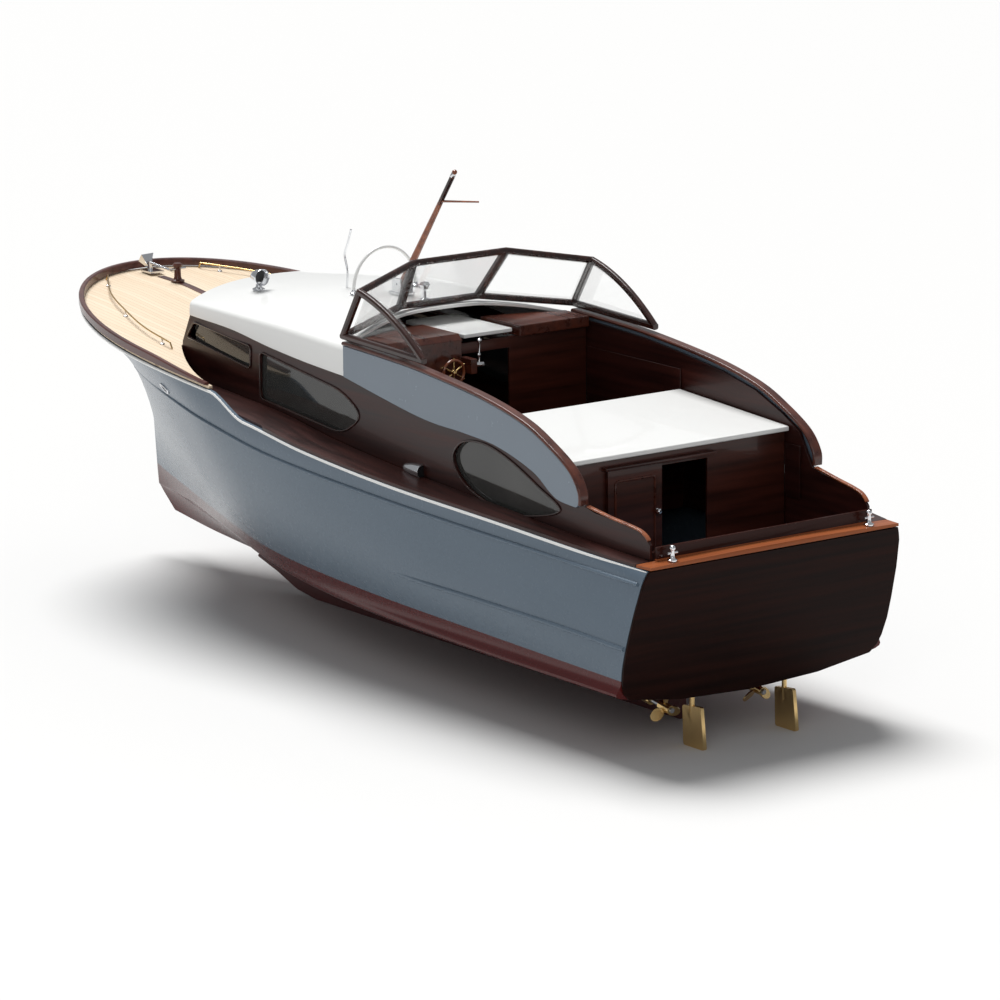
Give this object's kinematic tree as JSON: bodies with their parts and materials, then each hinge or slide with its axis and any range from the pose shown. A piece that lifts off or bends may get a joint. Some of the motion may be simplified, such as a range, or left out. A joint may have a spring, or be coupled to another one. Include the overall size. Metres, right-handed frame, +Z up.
{
  "type": "radio controlled model motor cruiser",
  "caption": "Scale model cabin cruiser with a planked hull, trunk cabin, open bridge with folded windshield, aft cabin, cockpit and working shafts and rudders.",
  "frame": {"origin": "centre of the bounding box in x and y, on the plane of the keel bottom", "axes": "+X towards the bow, +Y to port, +Z up"},
  "size_m": [0.88, 0.303, 0.3922],
  "materials": {
    "hull_paint": "gloss",
    "white_paint": "gloss",
    "mahogany": "gloss varnish",
    "varnished_trim": "gloss varnish",
    "deck_wood": "satin",
    "bottom_red": "satin",
    "chrome": "polished",
    "brass": "polished",
    "steel": "satin",
    "plastic": "matte",
    "battery_wrap": "gloss",
    "clear_glass": "clear"
  },
  "bodies": {
    "boat": {"hull": "hull_paint", "coaming_port": "hull_paint", "coaming_starboard": "hull_paint", "keel": "bottom_red", "transom_board": "mahogany", "side_deck_port": "mahogany", "side_deck_starboard": "mahogany", "toe_rail": "mahogany", "cabin_side_port": "mahogany", "cabin_side_starboard": "mahogany", "cabin_front": "mahogany", "bridge_bulkhead": "mahogany", "bridge_floor": "mahogany", "aft_cabin_front": "mahogany", "cockpit_bulkhead": "mahogany", "cockpit_floor": "mahogany", "windshield_frame": "mahogany", "transom_deck": "varnished_trim", "coaming_cap_port": "varnished_trim", "coaming_cap_starboard": "varnished_trim", "helm_console": "varnished_trim", "starboard_dash": "varnished_trim", "hatch_runners": "varnished_trim", "foredeck": "deck_wood", "equipment_tray": "deck_wood", "cabin_roof": "white_paint", "side_glass_port": "clear_glass", "side_glass_starboard": "clear_glass", "front_glass": "clear_glass", "windshield_glass": "clear_glass", "mast_tabernacle": "chrome", "roof_hoop": "chrome", "mooring_bitt": "chrome", "bow_anchor": "chrome", "stern_bitt_port": "chrome", "stern_bitt_starboard": "chrome", "strut_port": "brass", "strut_starboard": "brass", "motor_port": "steel", "motor_starboard": "steel", "speed_controller": "plastic", "receiver": "plastic", "rudder_servo": "plastic", "battery": "battery_wrap"},
    "drive_port": {"prop_shaft_port": "steel", "propeller_port": "brass"},
    "drive_starboard": {"prop_shaft_starboard": "steel", "propeller_starboard": "brass"},
    "rudder_port": {"rudder_port": "brass"},
    "rudder_starboard": {"rudder_starboard": "brass"},
    "tie_bar": {"tie_bar": "brass"},
    "servo_horn": {"servo_horn": "plastic"},
    "pushrod": {"pushrod": "steel"},
    "steering_wheel": {"steering_wheel": "brass"},
    "throttle_lever": {"throttle_lever": "chrome"},
    "cabin_door": {"cabin_door": "mahogany"},
    "companion_hatch": {"companion_hatch": "white_paint"},
    "mast": {"mast": "varnished_trim"},
    "searchlight": {"searchlight": "chrome"},
    "aft_cabin_top": {"aft_cabin_top": "white_paint"}
  },
  "joints": [
    {"name": "shaft_port_spin", "type": "hinge", "parent": "boat", "child": "drive_port", "pos_m": [-0.3616, 0.045, 0.024], "axis": [0.9903, 0, 0.1392], "continuous": true},
    {"name": "shaft_starboard_spin", "type": "hinge", "parent": "boat", "child": "drive_starboard", "pos_m": [-0.3616, -0.045, 0.024], "axis": [0.9903, 0, 0.1392], "continuous": true},
    {"name": "rudder_port_turn", "type": "hinge", "parent": "boat", "child": "rudder_port", "pos_m": [-0.3946, 0.045, 0.062], "axis": [0, 0, 1], "range_deg": [-35, 35]},
    {"name": "rudder_starboard_turn", "type": "hinge", "parent": "boat", "child": "rudder_starboard", "pos_m": [-0.3946, -0.045, 0.062], "axis": [0, 0, 1], "range_deg": [-35, 35]},
    {"name": "servo_horn_turn", "type": "hinge", "parent": "boat", "child": "servo_horn", "pos_m": [-0.3366, 0, 0.075], "axis": [0, 0, 1], "range_deg": [-35, 35]},
    {"name": "tie_bar_pin", "type": "hinge", "parent": "rudder_port", "child": "tie_bar", "pos_m": [-0.3766, 0.045, 0.0776], "axis": [0, 0, 1], "range_deg": [-35, 35]},
    {"name": "pushrod_pin", "type": "hinge", "parent": "servo_horn", "child": "pushrod", "pos_m": [-0.3186, 0, 0.08], "axis": [0, 0, 1], "range_deg": [-35, 35]},
    {"name": "steering_wheel_turn", "type": "hinge", "parent": "boat", "child": "steering_wheel", "pos_m": [-0.0786, 0.036, 0.238], "axis": [1, 0, 0], "range_deg": [-170, 170]},
    {"name": "throttle_lever_swing", "type": "hinge", "parent": "boat", "child": "throttle_lever", "pos_m": [-0.0796, 0.012, 0.242], "axis": [0, 1, 0], "range_deg": [-35, 35]},
    {"name": "cabin_door_slide", "type": "slide", "parent": "boat", "child": "cabin_door", "axis": [0, -1, 0], "range_m": [0, 0.047]},
    {"name": "companion_hatch_slide", "type": "slide", "parent": "boat", "child": "companion_hatch", "axis": [1, 0, 0], "range_m": [0, 0.042]},
    {"name": "mast_fold", "type": "hinge", "parent": "boat", "child": "mast", "pos_m": [0.0414, 0, 0.289], "axis": [0, 1, 0], "range_deg": [0, 40]},
    {"name": "searchlight_swivel", "type": "hinge", "parent": "boat", "child": "searchlight", "pos_m": [0.1594, 0.062, 0.272], "axis": [0, 0, 1], "range_deg": [-120, 120]},
    {"name": "aft_cabin_top_lift", "type": "slide", "parent": "boat", "child": "aft_cabin_top", "axis": [0, 0, 1], "range_m": [0, 0.06]}
  ],
  "couplings": [
    {"joint": "rudder_starboard_turn", "follows": "rudder_port_turn", "ratio": 1},
    {"joint": "servo_horn_turn", "follows": "rudder_port_turn", "ratio": 1},
    {"joint": "tie_bar_pin", "follows": "rudder_port_turn", "ratio": -1},
    {"joint": "pushrod_pin", "follows": "rudder_port_turn", "ratio": -1}
  ]
}
